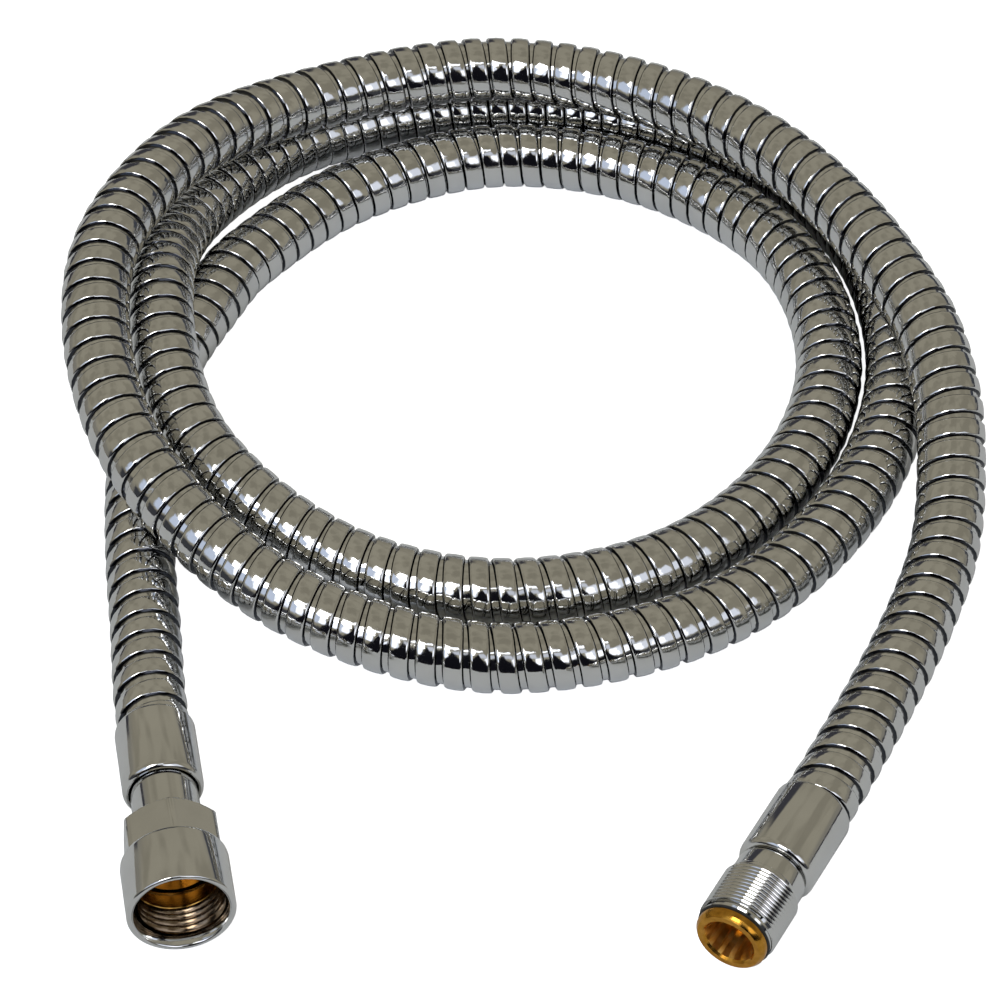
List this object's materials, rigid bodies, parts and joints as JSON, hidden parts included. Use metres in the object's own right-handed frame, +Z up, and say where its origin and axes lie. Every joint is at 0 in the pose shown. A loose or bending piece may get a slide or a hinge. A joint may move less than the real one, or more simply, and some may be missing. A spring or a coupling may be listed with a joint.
{
  "type": "flexible shower hose",
  "caption": "Flexible hose of spiral-wound chromed strip, laid in a loose coil, with a swivel nut at one end and a fine-thread connector at the other.",
  "frame": {"origin": "middle of the footprint of the coiled hose, on the surface that it lies on", "axes": "+Z up, +Y from the two fittings towards the far side of the coil, +X towards the connector's side"},
  "size_m": [0.2271, 0.3003, 0.0469],
  "materials": {
    "casing_chrome": "polished, spiral-wound",
    "nut_chrome": "polished",
    "connector_chrome": "polished",
    "ferrule_chrome": "polished",
    "nipple_brass": "machined",
    "key_brass": "machined",
    "crimp_steel": "plain",
    "seal_rubber": "matte",
    "tube_epdm": "matte",
    "glide_acetal": "satin"
  },
  "bodies": {
    "hose": {"nut_nipple": "nipple_brass", "nut_ferrule": "ferrule_chrome", "nut_crimp_ring": "crimp_steel", "casing_nut_tail": "casing_chrome", "casing_inner_back": "casing_chrome", "casing_inner_front": "casing_chrome", "casing_middle_back": "casing_chrome", "casing_middle_front": "casing_chrome", "casing_outer_left": "casing_chrome", "casing_outer_back": "casing_chrome", "casing_connector_tail": "casing_chrome", "water_tube": "tube_epdm", "connector_nipple": "nipple_brass", "swivel_o_ring": "seal_rubber", "connector_ferrule": "ferrule_chrome", "connector_crimp_ring": "crimp_steel"},
    "nut_slider": {"nut_glide_ring": "glide_acetal"},
    "nut": {"swivel_nut": "nut_chrome"},
    "connector": {"threaded_connector": "connector_chrome", "key_screw": "key_brass", "tip_o_ring": "seal_rubber"}
  },
  "joints": [
    {"name": "nut_slide", "type": "slide", "parent": "hose", "child": "nut_slider", "axis": [-0.1701, 0.9848, -0.0349], "range_m": [0, 0.0105]},
    {"name": "nut_swivel", "type": "hinge", "parent": "nut_slider", "child": "nut", "pos_m": [-0.0753, -0.1412, 0.01283], "axis": [0.1701, -0.9848, 0.0349], "continuous": true},
    {"name": "connector_swivel", "type": "hinge", "parent": "hose", "child": "connector", "pos_m": [0.0461, -0.1435, 0.00923], "axis": [-0.4802, -0.8771, 0], "continuous": true}
  ]
}
